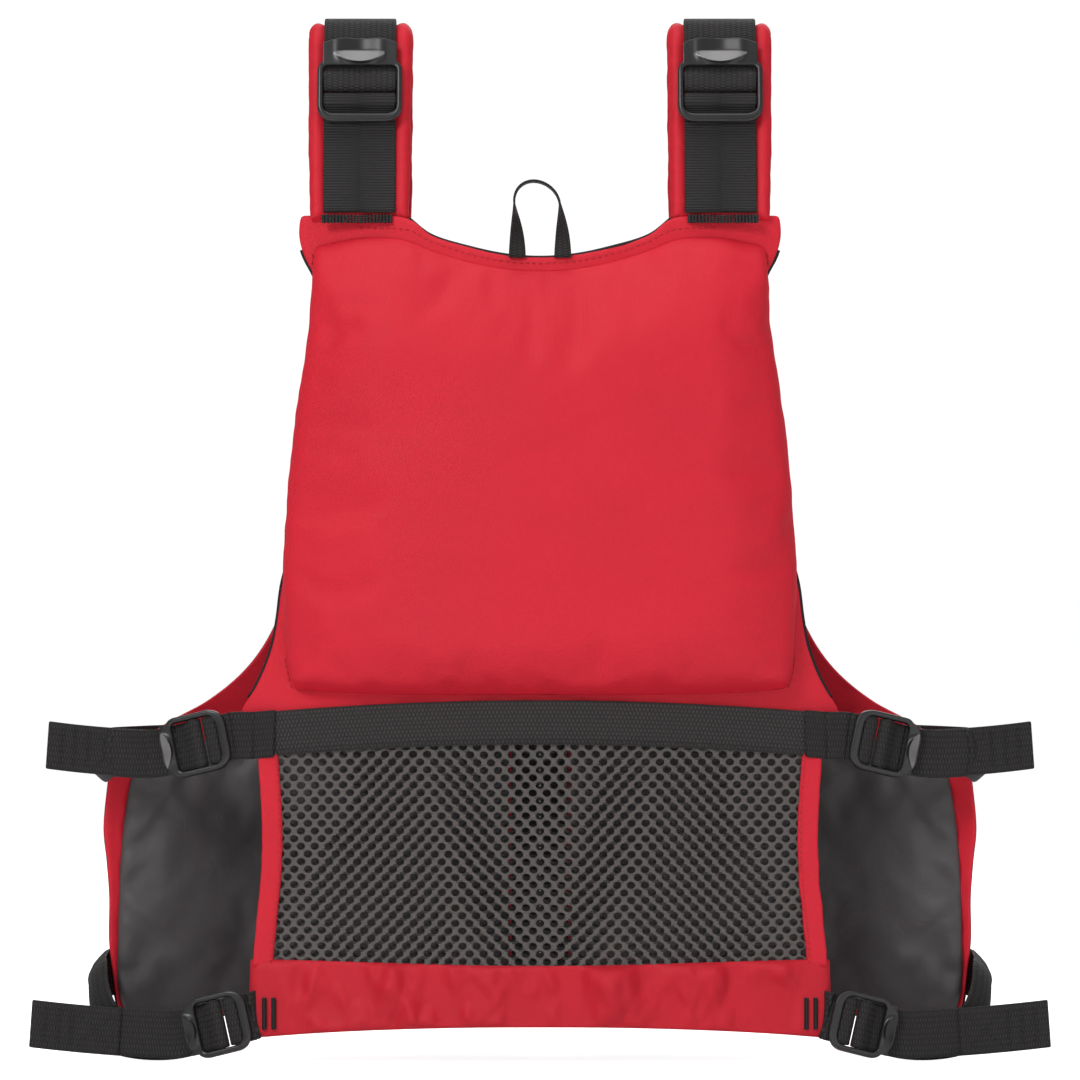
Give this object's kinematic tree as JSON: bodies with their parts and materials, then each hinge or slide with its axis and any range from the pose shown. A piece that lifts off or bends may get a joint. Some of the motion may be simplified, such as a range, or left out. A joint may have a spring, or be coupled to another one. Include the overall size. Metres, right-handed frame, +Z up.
{
  "type": "paddling life jacket",
  "caption": "Front-zip foam life jacket with a padded upper back, open mesh lower back, padded shoulder straps and webbing straps with ladder-lock buckles.",
  "frame": {"origin": "centre of the bounding box in plan, level with the lowest point of the lower side straps", "axes": "+Z up, -Y the way the back of the jacket faces, +Y the way the front zip faces, +X towards the right when the back is seen"},
  "size_m": [0.5328, 0.1919, 0.5486],
  "materials": {
    "red_fabric": "matt woven nylon with a soft sheen",
    "black_fabric": "matt woven nylon",
    "mesh_fabric": "knitted hexagonal mesh",
    "foam": "closed-cell foam skin",
    "webbing": "ribbed woven webbing",
    "black_plastic": "moulded acetal, satin",
    "zip_plastic": "moulded teeth",
    "zip_metal": "black painted zinc"
  },
  "bodies": {
    "back_panel": {"back_foam_outer": "foam", "back_foam_inner": "foam", "back_shell": "red_fabric", "back_lining": "black_fabric", "back_piping": "black_fabric", "mesh_outer": "mesh_fabric", "mesh_inner": "mesh_fabric", "mesh_bindings": "red_fabric", "bottom_hem": "red_fabric", "hem_bar_tacks": "webbing", "waist_webbing": "webbing", "shoulder_pad_back_left": "red_fabric", "shoulder_pad_back_right": "red_fabric", "shoulder_anchors": "webbing", "shoulder_webbing_back": "webbing", "side_straps_left": "webbing", "side_straps_right": "webbing"},
    "hang_loop": {"hang_loop": "webbing"},
    "zip_slider": {"zip_slider": "zip_metal"},
    "zip_pull": {"zip_pull": "zip_metal"},
    "front_left": {"front_foam_inner_left": "foam", "front_foam_outer_left": "foam", "front_shell_left": "red_fabric", "front_lining_left": "black_fabric", "front_piping_left": "black_fabric", "front_straps_left": "webbing", "pocket_left": "red_fabric", "zip_tape_left": "black_fabric", "zip_teeth_left": "zip_plastic", "shoulder_pad_front_left": "red_fabric", "shoulder_webbing_front_left": "webbing"},
    "pocket_flap_left": {"pocket_flap_left": "red_fabric"},
    "shoulder_buckle_left": {"shoulder_buckle_left": "black_plastic", "shoulder_lacing_left": "webbing"},
    "side_buckle_upper_left": {"side_buckle_upper_left": "black_plastic", "side_lacing_upper_left": "webbing"},
    "strap_tail_upper_left": {"strap_tail_upper_left": "webbing"},
    "side_buckle_lower_left": {"side_buckle_lower_left": "black_plastic", "side_lacing_lower_left": "webbing"},
    "strap_tail_lower_left": {"strap_tail_lower_left": "webbing"},
    "front_right": {"front_foam_inner_right": "foam", "front_foam_outer_right": "foam", "front_shell_right": "red_fabric", "front_lining_right": "black_fabric", "front_piping_right": "black_fabric", "front_straps_right": "webbing", "pocket_right": "red_fabric", "zip_tape_right": "black_fabric", "zip_teeth_right": "zip_plastic", "shoulder_pad_front_right": "red_fabric", "shoulder_webbing_front_right": "webbing"},
    "pocket_flap_right": {"pocket_flap_right": "red_fabric"},
    "shoulder_buckle_right": {"shoulder_buckle_right": "black_plastic", "shoulder_lacing_right": "webbing"},
    "side_buckle_upper_right": {"side_buckle_upper_right": "black_plastic", "side_lacing_upper_right": "webbing"},
    "strap_tail_upper_right": {"strap_tail_upper_right": "webbing"},
    "side_buckle_lower_right": {"side_buckle_lower_right": "black_plastic", "side_lacing_lower_right": "webbing"},
    "strap_tail_lower_right": {"strap_tail_lower_right": "webbing"}
  },
  "joints": [
    {"name": "front_left_swing", "type": "hinge", "parent": "back_panel", "child": "front_left", "pos_m": [-0.2395, -0.0232, 0.1589], "axis": [0.2793, 0.0576, 0.9585], "range_deg": [0, 75], "stiffness_Nm_per_rad": 0.4},
    {"name": "front_right_swing", "type": "hinge", "parent": "back_panel", "child": "front_right", "pos_m": [0.2395, -0.0232, 0.1589], "axis": [0.2793, -0.0576, -0.9585], "range_deg": [0, 75], "stiffness_Nm_per_rad": 0.4},
    {"name": "zip_slider_travel", "type": "slide", "parent": "front_left", "child": "zip_slider", "axis": [0, 0.061, -0.9981], "range_m": [0, 0.28], "deforming": ["zip_teeth_left", "zip_teeth_right"]},
    {"name": "zip_pull_flip", "type": "hinge", "parent": "zip_slider", "child": "zip_pull", "pos_m": [0, 0.04437, 0.35207], "axis": [1, 0, 0], "range_deg": [0, 140]},
    {"name": "shoulder_buckle_left_tilt", "type": "hinge", "parent": "back_panel", "child": "shoulder_buckle_left", "pos_m": [-0.0945, -0.02871, 0.4933], "axis": [1, 0, 0], "range_deg": [0, 35], "stiffness_Nm_per_rad": 0.05},
    {"name": "side_buckle_upper_left_tilt", "type": "hinge", "parent": "back_panel", "child": "side_buckle_upper_left", "pos_m": [-0.16264, -0.05357, 0.17305], "axis": [-0.2011, 0.1295, 0.971], "range_deg": [0, 40], "stiffness_Nm_per_rad": 0.05},
    {"name": "strap_tail_upper_left_pull", "type": "slide", "parent": "side_buckle_upper_left", "child": "strap_tail_upper_left", "axis": [-0.9933, 0.0993, 0.0596], "range_m": [0, 0.04], "stiffness_N_per_m": 20},
    {"name": "side_buckle_lower_left_tilt", "type": "hinge", "parent": "back_panel", "child": "side_buckle_lower_left", "pos_m": [-0.15319, -0.06767, 0.02284], "axis": [-0.2183, 0.1304, 0.9671], "range_deg": [0, 40], "stiffness_Nm_per_rad": 0.05},
    {"name": "strap_tail_lower_left_pull", "type": "slide", "parent": "side_buckle_lower_left", "child": "strap_tail_lower_left", "axis": [-0.9933, 0.0993, 0.0596], "range_m": [0, 0.04], "stiffness_N_per_m": 20},
    {"name": "shoulder_buckle_right_tilt", "type": "hinge", "parent": "back_panel", "child": "shoulder_buckle_right", "pos_m": [0.0945, -0.02871, 0.4933], "axis": [1, 0, 0], "range_deg": [0, 35], "stiffness_Nm_per_rad": 0.05},
    {"name": "side_buckle_upper_right_tilt", "type": "hinge", "parent": "back_panel", "child": "side_buckle_upper_right", "pos_m": [0.16264, -0.05357, 0.17305], "axis": [-0.2011, -0.1295, -0.971], "range_deg": [0, 40], "stiffness_Nm_per_rad": 0.05},
    {"name": "strap_tail_upper_right_pull", "type": "slide", "parent": "side_buckle_upper_right", "child": "strap_tail_upper_right", "axis": [0.9933, 0.0993, 0.0596], "range_m": [0, 0.04], "stiffness_N_per_m": 20},
    {"name": "side_buckle_lower_right_tilt", "type": "hinge", "parent": "back_panel", "child": "side_buckle_lower_right", "pos_m": [0.15319, -0.06767, 0.02284], "axis": [-0.2183, -0.1304, -0.9671], "range_deg": [0, 40], "stiffness_Nm_per_rad": 0.05},
    {"name": "strap_tail_lower_right_pull", "type": "slide", "parent": "side_buckle_lower_right", "child": "strap_tail_lower_right", "axis": [0.9933, 0.0993, 0.0596], "range_m": [0, 0.04], "stiffness_N_per_m": 20},
    {"name": "hang_loop_fold", "type": "hinge", "parent": "back_panel", "child": "hang_loop", "pos_m": [0, -0.05083, 0.42761], "axis": [1, 0, 0], "range_deg": [-12, 75], "stiffness_Nm_per_rad": 0.05},
    {"name": "pocket_flap_left_lift", "type": "hinge", "parent": "front_left", "child": "pocket_flap_left", "pos_m": [-0.105, 0.07461, 0.18189], "axis": [0.9735, 0.2283, 0.014], "range_deg": [0, 70], "stiffness_Nm_per_rad": 0.1},
    {"name": "pocket_flap_right_lift", "type": "hinge", "parent": "front_right", "child": "pocket_flap_right", "pos_m": [0.105, 0.07461, 0.18189], "axis": [0.9735, -0.2283, -0.014], "range_deg": [0, 70], "stiffness_Nm_per_rad": 0.1}
  ]
}
